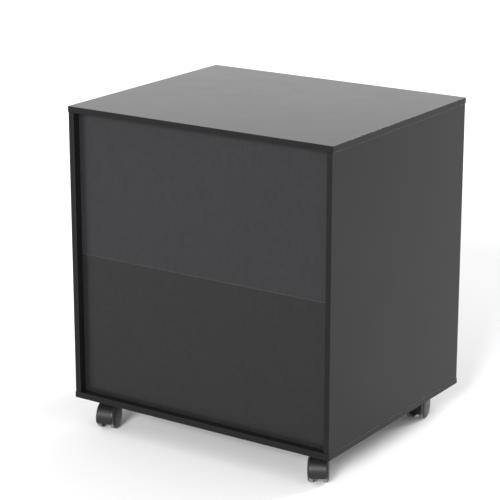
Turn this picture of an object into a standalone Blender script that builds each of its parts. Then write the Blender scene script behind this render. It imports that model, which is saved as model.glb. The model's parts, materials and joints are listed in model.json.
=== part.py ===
# Mobile printer stand: a black board cabinet with a drawer, a door, open compartments and four casters.
# The front faces -Y and the back +Y; +Z is up, and the origin is on the floor under the middle. Metres.
import math

import bmesh
import bpy
from mathutils import Matrix, Vector

# driving dimensions
WIDTH = 0.600
DEPTH = 0.500
CASTER_HEIGHT = 0.062
BODY_HEIGHT = 0.598
BOARD = 0.012
SLAB_LIP = 0.001
FIT = 0.0003
HOLE_PLAY = 0.0002
CUT_MARGIN = 0.010
CHAMFER = 0.0006

# back
BACK_RECESS = 0.017
BACK_THICK = 0.003
BACK_CHAMFER = 0.0004
GROOVE_DEPTH = 0.005

# front
FRONT_SET_BACK = 0.0033
FRONT_GAP = 0.0015
FRONT_END_GAP = 0.0018
DRAWER_FRONT_HEIGHT = 0.138
FINGER_GAP = 0.031
DECK_SET_BACK = 0.044

# shelves and their pins
SHELF_GAP = 0.0015
SHELF_SET_BACK = 0.030
SHELF_BACK_GAP = 0.001
OPEN_SHELF_Z = 0.360
CUPBOARD_SHELF_Z = 0.270
PIN_RADIUS = 0.0025
PIN_LENGTH = 0.016
PIN_HIDDEN = 0.0075
PIN_EASE = 0.0005
PIN_INSET_Y = 0.060
HOLE_PITCH = 0.032
HOLE_LENGTH = 0.016

# drawer
DRAWER_LENGTH = 0.400
DRAWER_SIDE_HEIGHT = 0.090
DRAWER_LIFT = 0.010
BOTTOM_LIFT = 0.006
BOTTOM_CHAMFER = 0.0003
RUNNER_SPACE = 0.0125
RUNNER_HEIGHT = 0.035
RUNNER_LENGTH = 0.400
STEEL = 0.0012
RAIL_DEPTH = 0.0092
DRAWER_RUNNER_DEPTH = 0.0075
CAGE_DEPTH = 0.0062
CAGE_STEEL = 0.0008
CAGE_OFFSET = 0.0021
CAGE_SHARE = 0.25
CHANNEL_STEP = 0.005

# door hinges
HINGE_RADIUS = 0.0020
HINGE_PIN_RADIUS = 0.0009
HINGE_LEAF = 0.0008
HINGE_WIDTH = 0.025
HINGE_HEIGHT = 0.050
HINGE_INSET_Z = 0.050
HINGE_WALL_GAP = 0.0002
HINGE_DOOR_GAP = 0.0004
NOTCH_WIDTH = 0.006
NOTCH_DEPTH = 0.0046
NOTCH_SHIFT = 0.0005

# magnet catch on the divider and its strike on the door
CATCH_Z = 0.400
CATCH_WIDTH = 0.013
CATCH_DEPTH = 0.016
CATCH_HEIGHT = 0.040
STRIKE_WIDTH = 0.011
STRIKE_HEIGHT = 0.034
STRIKE_THICK = 0.0016
STRIKE_INSET = 0.001
STRIKE_CHAMFER = 0.0002
CATCH_CHAMFER = 0.001

# casters, each in its own frame: origin on the floor under the swivel, trailing towards +Y
CASTER_INSET_X = 0.054
CASTER_INSET_Y = 0.052
WHEEL_RADIUS = 0.025
TRAIL = 0.020
WHEEL_INNER = 0.0095
WHEEL_OUTER = 0.0175
WHEEL_DOME = 0.0215
WHEEL_SIDES = 24
WHEEL_EASE = 0.0010
WHEEL_BORE_END = 0.0005
HUB_INNER = 0.0062
HUB_RADII = (0.0070, 0.0085)
AXLE_RADIUS = 0.0030
AXLE_BORE = 0.0031
HOOD_INNER = 0.0267
HOOD_OUTER = 0.0290
HOOD_LOW_BACK = -19
HOOD_LOW_FRONT = 200
FIN_HALF = 0.0055
DOME_RADIUS = 0.0238
BOSS_RADIUS = 0.0090
BOSS_LOW = 0.040
BOSS_OVERLAP = 0.001
COLLAR_RADIUS = 0.0140
COLLAR_HEIGHT = 0.0038
COLLAR_TOP = 0.0569
RACE_RADIUS = 0.0130
PLATE = 0.042
PLATE_THICK = 0.002
PLATE_CHAMFER = 0.0004

# brake pedals of the two front casters, measured from the axle
PEDAL_Y = 0.0150
PEDAL_Z = 0.0010
PEDAL_BARREL = 0.0030
PEDAL_PIN = 0.0014
CHEEK_IN = 0.0054
CHEEK = 0.0020
CHEEK_NEAR = 0.011
CHEEK_FAR = 0.019
CHEEK_DROP = 0.003
PEDAL_SIDE_GAP = 0.0005

# each caster: side along x, end along y, and the swivel angle it stands at in degrees
CASTERS = {
    "back_right": (1, 1, 16),
    "back_left": (-1, 1, 30),
    "front_left": (-1, -1, 10),
    "front_right": (1, -1, 22),
}

# worked out from the dimensions above
HALF_W = WIDTH / 2
HALF_D = DEPTH / 2
FLOOR_Z = CASTER_HEIGHT
DECK_Z = CASTER_HEIGHT + BOARD
LID_Z = CASTER_HEIGHT + BODY_HEIGHT - BOARD
TOP_Z = CASTER_HEIGHT + BODY_HEIGHT
SIDE_OUT = HALF_W - SLAB_LIP
SIDE_IN = SIDE_OUT - BOARD
PANEL_FRONT = -HALF_D + SLAB_LIP
PANEL_BACK = HALF_D - SLAB_LIP
BACK_OUT = PANEL_BACK - BACK_RECESS
BACK_IN = BACK_OUT - BACK_THICK
FRONT_Y = PANEL_FRONT + FRONT_SET_BACK
FRONT_BACK_Y = FRONT_Y + BOARD
HALF_BOARD = BOARD / 2
DRAWER_FRONT_LOW = LID_Z - FRONT_END_GAP - DRAWER_FRONT_HEIGHT
DOOR_TOP = DRAWER_FRONT_LOW - FINGER_GAP
DOOR_LOW = DECK_Z + FRONT_END_GAP
SHELF_BOARD_LOW = DRAWER_FRONT_LOW - FINGER_GAP / 2 - HALF_BOARD
HINGE_X = -SIDE_IN + HINGE_RADIUS + HINGE_WALL_GAP
HINGE_Y = FRONT_Y - HINGE_RADIUS - FIT
DOOR_EDGE_X = HINGE_X + HINGE_DOOR_GAP


def clear_scene():
    for thing in list(bpy.data.objects):
        bpy.data.objects.remove(thing, do_unlink=True)


def make_material(name, colour, roughness, metallic=0.0):
    material = bpy.data.materials.new(name)
    material.use_nodes = True
    shader = material.node_tree.nodes["Principled BSDF"]
    shader.inputs["Base Color"].default_value = (*colour, 1.0)
    shader.inputs["Roughness"].default_value = roughness
    shader.inputs["Metallic"].default_value = metallic
    return material


def add_object(name, mesh, material, place=(0, 0, 0)):
    thing = bpy.data.objects.new(name, mesh)
    bpy.context.collection.objects.link(thing)
    thing.location = place
    if material is not None and not mesh.materials:
        mesh.materials.append(material)
    return thing


def mesh_from(name, form):
    bmesh.ops.recalc_face_normals(form, faces=form.faces)
    mesh = bpy.data.meshes.new(name)
    form.to_mesh(mesh)
    form.free()
    return mesh


def block_mesh(name, size, chamfer=0.0, segments=1):
    form = bmesh.new()
    bmesh.ops.create_cube(form, size=1.0, matrix=Matrix.Diagonal((*size, 1.0)))
    if chamfer:
        bmesh.ops.bevel(form, geom=form.edges[:], offset=chamfer, segments=segments, profile=0.5, affect="EDGES")
    return mesh_from(name, form)


def board(name, low, high, material, chamfer=CHAMFER, segments=1):
    low = Vector(low)
    high = Vector(high)
    return add_object(name, block_mesh(name, high - low, chamfer, segments), material, (low + high) / 2)


def extruded_mesh(name, outline, length):
    """A closed outline in the local YZ plane, extruded to both sides along X."""
    form = bmesh.new()
    ring = [form.verts.new((-length / 2, y, z)) for y, z in outline]
    face = form.faces.new(ring)
    grown = bmesh.ops.extrude_face_region(form, geom=[face])
    moved = [v for v in grown["geom"] if isinstance(v, bmesh.types.BMVert)]
    bmesh.ops.translate(form, verts=moved, vec=(length, 0, 0))
    return mesh_from(name, form)


def turned_mesh(name, profile, sides, sharp=40):
    """A profile of (x, radius) points turned about the X axis. It closes on the axis or on itself."""
    form = bmesh.new()
    rings = []
    for x, radius in profile:
        if radius == 0:
            rings.append([form.verts.new((x, 0, 0))])
            continue
        turns = [(i + 0.5) * 2 * math.pi / sides for i in range(sides)]
        rings.append([form.verts.new((x, radius * math.sin(t), radius * math.cos(t))) for t in turns])
    pairs = list(zip(rings, rings[1:]))
    if len(rings[0]) > 1 and len(rings[-1]) > 1:
        pairs.append((rings[-1], rings[0]))
    for near, far in pairs:
        for i in range(sides):
            j = (i + 1) % sides
            corners = [near[i % len(near)], near[j % len(near)], far[j % len(far)], far[i % len(far)]]
            corners = list(dict.fromkeys(corners))
            if len(corners) > 2:
                form.faces.new(corners)
    mesh = mesh_from(name, form)
    mesh.shade_smooth()
    mesh.set_sharp_from_angle(angle=math.radians(sharp))
    return mesh


def cylinder_mesh(name, radius, length, sides):
    half = length / 2
    return turned_mesh(name, [(-half, 0), (-half, radius), (half, radius), (half, 0)], sides)


def combine(thing, tool_mesh, operation, place, turn=(0, 0, 0)):
    """Joins a shape to a piece or cuts it out. The tool is a hidden guide in the piece's own frame."""
    tool = add_object(thing.name + "_tool", tool_mesh, None, place)
    tool.rotation_euler = turn
    tool.parent = thing
    tool.hide_render = True
    tool.display_type = "WIRE"
    step = thing.modifiers.new(operation.lower(), "BOOLEAN")
    step.operation = operation
    step.object = tool


def cut_box(thing, low, high):
    low = Vector(low)
    high = Vector(high)
    middle = (low + high) / 2 - thing.location
    combine(thing, block_mesh("groove", high - low), "DIFFERENCE", middle)


def cut_round(thing, centre, radius, length, sides=12):
    middle = Vector(centre) - thing.location
    combine(thing, cylinder_mesh("hole", radius, length, sides), "DIFFERENCE", middle)


def arc(radius, start, stop, steps, centre=(0.0, 0.0)):
    angles = [math.radians(start + (stop - start) * i / steps) for i in range(steps + 1)]
    return [(centre[0] + radius * math.cos(a), centre[1] + radius * math.sin(a)) for a in angles]


def make_slabs(black):
    board("top_panel", (-HALF_W, -HALF_D, LID_Z), (HALF_W, HALF_D, TOP_Z), black, segments=2)
    board("bottom_panel", (-HALF_W, -HALF_D, FLOOR_Z), (HALF_W, HALF_D, DECK_Z), black, segments=2)


def pin_ys():
    return (PANEL_FRONT + SHELF_SET_BACK + PIN_INSET_Y, BACK_IN - PIN_INSET_Y)


def drill_row(panel, face_x, shelf_z):
    """Three holes one above the other at each pin place, the middle one under the shelf."""
    for y in pin_ys():
        for step in (-1, 0, 1):
            z = shelf_z - PIN_RADIUS - FIT + step * HOLE_PITCH
            cut_round(panel, (face_x, y, z), PIN_RADIUS + HOLE_PLAY, HOLE_LENGTH)


def make_uprights(black):
    low_z = DECK_Z + FIT
    high_z = LID_Z - FIT
    groove_front = BACK_IN - FIT
    groove_back = BACK_OUT + FIT
    for name, side in (("side_panel_left", -1), ("side_panel_right", 1)):
        ends = sorted((side * SIDE_IN, side * SIDE_OUT))
        low = (ends[0], PANEL_FRONT, low_z)
        high = (ends[1], PANEL_BACK, high_z)
        panel = board(name, low, high, black, segments=2)
        cut = sorted((side * (SIDE_IN - CUT_MARGIN), side * (SIDE_IN + GROOVE_DEPTH)))
        cut_low = (cut[0], groove_front, low_z - CUT_MARGIN)
        cut_box(panel, cut_low, (cut[1], groove_back, high_z + CUT_MARGIN))
        drill_row(panel, side * SIDE_IN, CUPBOARD_SHELF_Z if side < 0 else OPEN_SHELF_Z)
    low = (-HALF_BOARD, PANEL_FRONT, low_z)
    divider = board("divider_panel", low, (HALF_BOARD, BACK_IN - FIT, high_z), black)
    drill_row(divider, -HALF_BOARD, CUPBOARD_SHELF_Z)
    drill_row(divider, HALF_BOARD, OPEN_SHELF_Z)


def make_back(hardboard):
    edge = SIDE_IN + GROOVE_DEPTH - FIT
    middle = (DECK_Z + LID_Z) / 2
    spans = {
        "back_panel_lower": (DECK_Z + FIT, middle - FIT / 2),
        "back_panel_upper": (middle + FIT / 2, LID_Z - FIT),
    }
    for name, (low_z, high_z) in spans.items():
        board(name, (-edge, BACK_IN, low_z), (edge, BACK_OUT, high_z), hardboard, BACK_CHAMFER)


def make_inside_boards(black):
    left_low = -SIDE_IN + FIT
    left_high = -HALF_BOARD - FIT
    deck_front = PANEL_FRONT + DECK_SET_BACK
    deck_top = SHELF_BOARD_LOW + BOARD
    board("drawer_deck", (left_low, deck_front, SHELF_BOARD_LOW), (left_high, BACK_IN - FIT, deck_top), black)
    shelf_front = PANEL_FRONT + SHELF_SET_BACK
    shelf_back = BACK_IN - SHELF_BACK_GAP
    spans = {
        "cupboard_shelf": (-SIDE_IN, -HALF_BOARD, CUPBOARD_SHELF_Z),
        "open_shelf": (HALF_BOARD, SIDE_IN, OPEN_SHELF_Z),
    }
    for name, (low_x, high_x, z) in spans.items():
        low = (low_x + SHELF_GAP, shelf_front, z)
        board(name, low, (high_x - SHELF_GAP, shelf_back, z + BOARD), black)


def make_shelf_pins(nickel):
    """Each pin has a shank in the panel's hole and a stub under the shelf, both with eased ends."""
    stub = PIN_LENGTH - PIN_HIDDEN
    profile = [
        (-PIN_HIDDEN, 0),
        (-PIN_HIDDEN, PIN_RADIUS - PIN_EASE),
        (PIN_EASE - PIN_HIDDEN, PIN_RADIUS),
        (stub - PIN_EASE, PIN_RADIUS),
        (stub, PIN_RADIUS - PIN_EASE),
        (stub, 0),
    ]
    mesh = turned_mesh("shelf_pin", profile, 12)
    places = {
        "cupboard_shelf_pin": ((-SIDE_IN, 1), (-HALF_BOARD, -1), CUPBOARD_SHELF_Z),
        "open_shelf_pin": ((HALF_BOARD, 1), (SIDE_IN, -1), OPEN_SHELF_Z),
    }
    for name, (left, right, z) in places.items():
        number = 0
        for face_x, way in (left, right):
            for y in pin_ys():
                number += 1
                pin = add_object(f"{name}_{number}", mesh, nickel, (face_x, y, z - PIN_RADIUS - FIT))
                pin.rotation_euler = (0, 0, 0 if way > 0 else math.pi)


def channel_outline(height, depth, steel=STEEL):
    """A C-shaped section: its web at y = 0 and its flanges running to y = depth."""
    half = height / 2
    return [
        (0, -half),
        (depth, -half),
        (depth, -half + steel),
        (steel, -half + steel),
        (steel, half - steel),
        (depth, half - steel),
        (depth, half),
        (0, half),
    ]


def drawer_box():
    """The drawer's outer limits: low and high x, front and back y, low z."""
    low_x = -SIDE_IN + RUNNER_SPACE
    high_x = -HALF_BOARD - RUNNER_SPACE
    return low_x, high_x, FRONT_BACK_Y + FIT, FRONT_BACK_Y + FIT + DRAWER_LENGTH, DRAWER_FRONT_LOW + DRAWER_LIFT


def make_runners(steel):
    """Cabinet rail, ball cage and drawer runner, three nested channels on each side of the drawer."""
    low_x, high_x, front_y, back_y, low_z = drawer_box()
    middle_z = low_z + DRAWER_SIDE_HEIGHT / 2
    sides = {"left": (-SIDE_IN, low_x, 1), "right": (-HALF_BOARD, high_x, -1)}
    rail_outline = channel_outline(RUNNER_HEIGHT, RAIL_DEPTH)
    cage_outline = channel_outline(RUNNER_HEIGHT - CHANNEL_STEP, CAGE_DEPTH, CAGE_STEEL)
    runner_outline = channel_outline(RUNNER_HEIGHT - 2 * CHANNEL_STEP, DRAWER_RUNNER_DEPTH)
    rail = extruded_mesh("drawer_rail", rail_outline, RUNNER_LENGTH)
    cage = extruded_mesh("ball_cage", cage_outline, RUNNER_LENGTH * CAGE_SHARE)
    runner = extruded_mesh("drawer_runner", runner_outline, RUNNER_LENGTH)
    middle_y = front_y + RUNNER_LENGTH / 2
    for side, (wall_x, drawer_x, way) in sides.items():
        quarter = math.pi / 2
        inward = -quarter if way > 0 else quarter
        outer = add_object(f"drawer_rail_{side}", rail, steel, (wall_x + way * FIT, middle_y, middle_z))
        outer.rotation_euler = (0, 0, inward)
        middle = add_object(f"ball_cage_{side}", cage, steel, (wall_x + way * CAGE_OFFSET, middle_y, middle_z))
        middle.rotation_euler = (0, 0, inward)
        inner = add_object(f"drawer_runner_{side}", runner, steel, (drawer_x - way * FIT, middle_y, middle_z))
        inner.rotation_euler = (0, 0, -inward)


def make_drawer(black, hardboard):
    low_x, high_x, front_y, back_y, low_z = drawer_box()
    high_z = low_z + DRAWER_SIDE_HEIGHT
    front_low = (-SIDE_IN + FRONT_GAP, FRONT_Y, DRAWER_FRONT_LOW)
    front_high = (-HALF_BOARD - FRONT_GAP, FRONT_BACK_Y, DRAWER_FRONT_LOW + DRAWER_FRONT_HEIGHT)
    board("drawer_front", front_low, front_high, black, segments=2)
    groove_low = low_z + BOTTOM_LIFT
    groove_high = groove_low + BACK_THICK + 2 * FIT
    spans = {"drawer_side_left": (low_x, low_x + BOARD, 1), "drawer_side_right": (high_x - BOARD, high_x, -1)}
    for name, (side_low, side_high, way) in spans.items():
        side = board(name, (side_low, front_y, low_z), (side_high, back_y, high_z), black)
        inner = side_high if way > 0 else side_low
        cut = sorted((inner - way * GROOVE_DEPTH, inner + way * CUT_MARGIN))
        cut_low = (cut[0], front_y - CUT_MARGIN, groove_low)
        cut_box(side, cut_low, (cut[1], back_y + CUT_MARGIN, groove_high))
    inner_low = low_x + BOARD
    inner_high = high_x - BOARD
    back_low = (inner_low + FIT, back_y - BOARD, groove_high + FIT)
    board("drawer_back", back_low, (inner_high - FIT, back_y, high_z), black)
    reach = GROOVE_DEPTH - FIT
    bottom_low = (inner_low - reach, front_y + FIT, groove_low + FIT)
    bottom_high = (inner_high + reach, back_y - FIT, groove_high - FIT)
    board("drawer_bottom", bottom_low, bottom_high, hardboard, BOTTOM_CHAMFER)


def make_door(black, steel, plastic):
    low = (DOOR_EDGE_X, FRONT_Y, DOOR_LOW)
    high = (-HALF_BOARD - FRONT_GAP, FRONT_BACK_Y, DOOR_TOP)
    door = board("door_panel", low, high, black, segments=2)
    hinge = Vector((HINGE_X, HINGE_Y, 0))
    middle = door.location.copy()
    door.data.transform(Matrix.Translation(middle - hinge))
    door.location = hinge
    make_hinges(door, steel)
    strike_y = FRONT_BACK_Y + FIT
    strike_low = (high[0] - STRIKE_INSET - STRIKE_WIDTH, strike_y, CATCH_Z - STRIKE_HEIGHT / 2)
    strike_high = (high[0] - STRIKE_INSET, strike_y + STRIKE_THICK, CATCH_Z + STRIKE_HEIGHT / 2)
    board("catch_strike", strike_low, strike_high, steel, STRIKE_CHAMFER)
    catch_y = strike_high[1] + FIT
    catch_face = -HALF_BOARD - FIT
    catch_low = (catch_face - CATCH_WIDTH, catch_y, CATCH_Z - CATCH_HEIGHT / 2)
    catch_high = (catch_face, catch_y + CATCH_DEPTH, CATCH_Z + CATCH_HEIGHT / 2)
    board("magnet_catch", catch_low, catch_high, plastic, CATCH_CHAMFER)


def knuckle_mesh(length, bore=0.0):
    half = length / 2
    if bore:
        profile = [(-half, bore), (-half, HINGE_RADIUS), (half, HINGE_RADIUS), (half, bore)]
    else:
        profile = [(-half, 0), (-half, HINGE_RADIUS), (half, HINGE_RADIUS), (half, 0)]
    mesh = turned_mesh("knuckle", profile, 16)
    mesh.transform(Matrix.Rotation(math.pi / 2, 4, "Y"))
    return mesh


def make_hinges(door, steel):
    """Butt hinges: the cabinet leaf carries the pin and two end knuckles, the door leaf the middle one."""
    third = HINGE_HEIGHT / 3
    reach = HINGE_RADIUS * 0.5
    heights = {"lower": DOOR_LOW + HINGE_INSET_Z, "upper": DOOR_TOP - HINGE_INSET_Z}
    cabinet_x = -SIDE_IN + FIT + HINGE_LEAF / 2 - HINGE_X
    door_x = DOOR_EDGE_X - FIT - HINGE_LEAF / 2 - HINGE_X
    for level, z in heights.items():
        size = (HINGE_LEAF, HINGE_WIDTH, HINGE_HEIGHT)
        plate = block_mesh("hinge_leaf", size)
        plate.transform(Matrix.Translation((cabinet_x, HINGE_WIDTH / 2 + reach, 0)))
        leaf = add_object(f"cabinet_hinge_leaf_{level}", plate, steel, (HINGE_X, HINGE_Y, z))
        notch = block_mesh("notch", (NOTCH_WIDTH, NOTCH_DEPTH, third + 2 * FIT))
        combine(leaf, notch, "DIFFERENCE", (0, NOTCH_SHIFT, 0))
        for end in (-1, 1):
            combine(leaf, knuckle_mesh(third - FIT), "UNION", (0, 0, end * (third + FIT / 2)))
        pin = cylinder_mesh("pin", HINGE_PIN_RADIUS, 2 * third, 12)
        combine(leaf, pin, "UNION", (0, 0, 0), (0, math.pi / 2, 0))
        size = (HINGE_LEAF, HINGE_WIDTH, third - 2 * FIT)
        plate = block_mesh("hinge_leaf", size)
        plate.transform(Matrix.Translation((door_x, HINGE_WIDTH / 2 + reach, 0)))
        leaf = add_object(f"door_hinge_leaf_{level}", plate, steel, (0, 0, z))
        leaf.parent = door
        combine(leaf, knuckle_mesh(third - 2 * FIT), "UNION", (0, 0, 0))
        bore = cylinder_mesh("bore", HINGE_PIN_RADIUS + HOLE_PLAY, third * 1.2, 16)
        combine(leaf, bore, "DIFFERENCE", (0, 0, 0), (0, math.pi / 2, 0))


def wheel_profile():
    """(x, radius) from the end of the blind bore round the hub, the tread and the domed cover."""
    tread = WHEEL_RADIUS / math.cos(math.pi / WHEEL_SIDES)
    bulge = WHEEL_DOME - WHEEL_OUTER
    dome = [(WHEEL_OUTER + bulge * math.sin(a), DOME_RADIUS * math.cos(a)) for a in (0.3, 0.7, 1.1)]
    return [
        (WHEEL_OUTER - WHEEL_BORE_END, 0),
        (WHEEL_OUTER - WHEEL_BORE_END, AXLE_BORE),
        (HUB_INNER, AXLE_BORE),
        (HUB_INNER, HUB_RADII[0]),
        (WHEEL_INNER, HUB_RADII[1]),
        (WHEEL_INNER, tread - WHEEL_EASE),
        (WHEEL_INNER + WHEEL_EASE, tread),
        (WHEEL_OUTER - WHEEL_EASE, tread),
        (WHEEL_OUTER, tread - WHEEL_EASE),
        *dome,
        (WHEEL_DOME, 0),
    ]


def make_hood(name, with_brake, material, swivel):
    """The shell over both wheels, the fin between them, and the boss and collar under the ball race."""
    axle = (TRAIL, WHEEL_RADIUS)
    outer = arc(HOOD_OUTER, HOOD_LOW_BACK, HOOD_LOW_FRONT, 20, axle)
    inner = arc(HOOD_INNER, HOOD_LOW_FRONT, HOOD_LOW_BACK, 20, axle)
    hood = add_object(name, extruded_mesh(name, outer + inner, 2 * WHEEL_OUTER), material)
    hood.parent = swivel
    fin_radius = (HOOD_INNER + HOOD_OUTER) / 2
    if with_brake:
        fin = arc(fin_radius, 70, 192, 10, axle)
        fin.append((axle[0] + fin_radius * math.cos(math.radians(70)), fin[-1][1]))
    else:
        fin = arc(fin_radius, -12, 192, 16, axle)
    combine(hood, extruded_mesh("fin", fin, 2 * FIN_HALF), "UNION", (0, 0, 0))
    upright = (0, math.pi / 2, 0)
    boss_high = COLLAR_TOP - BOSS_OVERLAP
    boss = cylinder_mesh("boss", BOSS_RADIUS, boss_high - BOSS_LOW, 20)
    combine(hood, boss, "UNION", (0, 0, (BOSS_LOW + boss_high) / 2), upright)
    collar = cylinder_mesh("collar", COLLAR_RADIUS, COLLAR_HEIGHT, 24)
    combine(hood, collar, "UNION", (0, 0, COLLAR_TOP - COLLAR_HEIGHT / 2), upright)
    combine(hood, cylinder_mesh("bore", AXLE_BORE, 0.03, 24), "DIFFERENCE", (0, *axle))
    if with_brake:
        near = axle[0] + CHEEK_NEAR
        far = axle[0] + CHEEK_FAR
        cheek = [
            (near, axle[1] - CHEEK_DROP),
            (far, axle[1] - CHEEK_DROP),
            (far, axle[1] + math.sqrt(fin_radius**2 - CHEEK_FAR**2)),
            (near, axle[1] + math.sqrt(fin_radius**2 - CHEEK_NEAR**2)),
        ]
        for side in (-1, 1):
            x = side * (CHEEK_IN + CHEEK / 2)
            combine(hood, extruded_mesh("cheek", cheek, CHEEK), "UNION", (x, 0, 0))
        pivot = (0, axle[0] + PEDAL_Y, axle[1] + PEDAL_Z)
        combine(hood, cylinder_mesh("hole", PEDAL_PIN + HOLE_PLAY, 0.018, 16), "DIFFERENCE", pivot)


def make_pedal(name, material, swivel):
    """A lever on stub pins between the wheels. It runs out under the hood's rear edge and ends in a tab."""
    lever = [
        (-0.0022, -0.0015),
        (0.0070, -0.0140),
        (0.0195, -0.0145),
        (0.0205, -0.0130),
        (0.0195, -0.0117),
        (0.0090, -0.0113),
        (0.0025, -0.0010),
    ]
    half = CHEEK_IN - PEDAL_SIDE_GAP
    pedal = add_object(name, extruded_mesh(name, lever, 2 * half), material)
    pedal.parent = swivel
    pedal.location = (0, TRAIL + PEDAL_Y, WHEEL_RADIUS + PEDAL_Z)
    combine(pedal, cylinder_mesh("barrel", PEDAL_BARREL, 2 * half, 16), "UNION", (0, 0, 0))
    combine(pedal, cylinder_mesh("stubs", PEDAL_PIN, 2 * (CHEEK_IN + CHEEK), 16), "UNION", (0, 0, 0))


def make_caster_plate(name, x, y, material):
    size = (PLATE, PLATE, PLATE_THICK)
    top = CASTER_HEIGHT - FIT
    plate = add_object(name, block_mesh(name, size, PLATE_CHAMFER), material, (x, y, top - PLATE_THICK / 2))
    race_low = COLLAR_TOP + FIT
    race_high = top - PLATE_THICK / 2
    race = cylinder_mesh("race", RACE_RADIUS, race_high - race_low, 24)
    middle = (race_low + race_high) / 2 - plate.location.z
    combine(plate, race, "UNION", (0, 0, middle), (0, math.pi / 2, 0))


def make_casters(plastic, wheel, steel, grey):
    axle_half = WHEEL_OUTER - WHEEL_EASE
    axle_profile = [(-axle_half, 0), (-axle_half, AXLE_RADIUS), (axle_half, AXLE_RADIUS), (axle_half, 0)]
    axle_mesh = turned_mesh("axle", axle_profile, 24)
    round_mesh = turned_mesh("wheel", wheel_profile(), WHEEL_SIDES)
    for where, (side, end, degrees) in CASTERS.items():
        x = side * (HALF_W - CASTER_INSET_X)
        y = end * (HALF_D - CASTER_INSET_Y)
        swivel = bpy.data.objects.new(f"swivel_{where}", None)
        bpy.context.collection.objects.link(swivel)
        swivel.location = (x, y, 0)
        swivel.rotation_euler = (0, 0, math.radians(degrees))
        make_caster_plate(f"caster_plate_{where}", x, y, steel)
        braked = end < 0
        make_hood(f"caster_hood_{where}", braked, plastic, swivel)
        hub = (0, TRAIL, WHEEL_RADIUS)
        axle = add_object(f"caster_axle_{where}", axle_mesh, steel, hub)
        axle.parent = swivel
        for hand, turn in (("a", math.pi), ("b", 0)):
            piece = add_object(f"caster_wheel_{where}_{hand}", round_mesh, wheel, hub)
            piece.parent = swivel
            piece.rotation_euler = (0, 0, turn)
        if braked:
            make_pedal(f"brake_pedal_{where}", grey, swivel)


def main():
    clear_scene()
    black = make_material("black_melamine", (0.030, 0.030, 0.032), 0.45)
    hardboard = make_material("black_hardboard", (0.034, 0.034, 0.036), 0.5)
    plastic = make_material("black_plastic", (0.022, 0.022, 0.024), 0.4)
    wheel = make_material("wheel_plastic", (0.05, 0.05, 0.05), 0.5)
    grey = make_material("grey_plastic", (0.16, 0.16, 0.15), 0.5)
    steel = make_material("zinc_steel", (0.55, 0.55, 0.56), 0.35, 1.0)
    make_slabs(black)
    make_uprights(black)
    make_back(hardboard)
    make_inside_boards(black)
    make_shelf_pins(steel)
    make_runners(steel)
    make_drawer(black, hardboard)
    make_door(black, steel, plastic)
    make_casters(plastic, wheel, steel, grey)


main()
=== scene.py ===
import json
import math

import bmesh
import bpy
from mathutils import Matrix, Vector


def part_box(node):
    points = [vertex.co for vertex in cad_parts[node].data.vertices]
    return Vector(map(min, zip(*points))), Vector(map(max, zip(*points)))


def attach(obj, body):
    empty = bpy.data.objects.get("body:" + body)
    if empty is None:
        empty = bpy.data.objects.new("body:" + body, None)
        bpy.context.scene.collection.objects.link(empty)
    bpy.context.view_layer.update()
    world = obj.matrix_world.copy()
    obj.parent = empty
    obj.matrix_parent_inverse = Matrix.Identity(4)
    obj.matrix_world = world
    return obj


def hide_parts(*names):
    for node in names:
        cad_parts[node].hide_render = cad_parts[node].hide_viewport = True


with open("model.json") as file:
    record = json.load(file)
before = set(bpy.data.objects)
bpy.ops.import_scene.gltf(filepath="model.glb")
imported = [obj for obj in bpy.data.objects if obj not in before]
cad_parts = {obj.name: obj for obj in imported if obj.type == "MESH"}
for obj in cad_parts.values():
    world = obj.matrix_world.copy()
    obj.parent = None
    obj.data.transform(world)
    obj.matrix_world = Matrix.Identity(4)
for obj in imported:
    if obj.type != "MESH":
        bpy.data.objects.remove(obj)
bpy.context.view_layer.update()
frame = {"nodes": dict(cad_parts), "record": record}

fullTurn = 2 * math.pi

# what the imported frame says about bodies and joints
behaviour = frame["record"]["behaviour"]
bodyOf = {node: body for body, nodes in behaviour["bodies"].items() for node in nodes}
jointOf = {joint["name"]: joint for joint in behaviour["joints"]}


# node materials, built with a few short helpers that each add one texture or one step

def startFinish(name, colour, roughness, metallic=0.0):
    material = bpy.data.materials.new(name)
    material.use_nodes = True
    tree = material.node_tree
    shader = tree.nodes["Principled BSDF"]
    shader.inputs["Base Color"].default_value = (*colour, 1)
    shader.inputs["Roughness"].default_value = roughness
    shader.inputs["Metallic"].default_value = metallic
    place = tree.nodes.new("ShaderNodeTexCoord")
    place.name = "place"
    return material, tree, shader


def noiseOf(tree, perMetre, detail=4.0, stretch=(1, 1, 1), rough=0.5):
    mapping = tree.nodes.new("ShaderNodeMapping")
    mapping.inputs["Scale"].default_value = stretch
    tree.links.new(tree.nodes["place"].outputs["Object"], mapping.inputs["Vector"])
    texture = tree.nodes.new("ShaderNodeTexNoise")
    texture.inputs["Scale"].default_value = perMetre
    texture.inputs["Detail"].default_value = detail
    texture.inputs["Roughness"].default_value = rough
    tree.links.new(mapping.outputs["Vector"], texture.inputs["Vector"])
    return texture.outputs["Fac"]


def cellsOf(tree, perMetre, feature="F1"):
    texture = tree.nodes.new("ShaderNodeTexVoronoi")
    texture.feature = feature
    texture.inputs["Scale"].default_value = perMetre
    tree.links.new(tree.nodes["place"].outputs["Object"], texture.inputs["Vector"])
    return texture.outputs["Distance"]


def spread(tree, value, lowIn, highIn, lowOut, highOut):
    ranged = tree.nodes.new("ShaderNodeMapRange")
    for key, number in (("From Min", lowIn), ("From Max", highIn), ("To Min", lowOut), ("To Max", highOut)):
        ranged.inputs[key].default_value = number
    tree.links.new(value, ranged.inputs["Value"])
    return ranged.outputs["Result"]


def mathOf(tree, operation, first, second):
    made = tree.nodes.new("ShaderNodeMath")
    made.operation = operation
    for socket, value in zip(made.inputs, (first, second)):
        if isinstance(value, (int, float)):
            socket.default_value = value
        else:
            tree.links.new(value, socket)
    return made.outputs["Value"]


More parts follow.
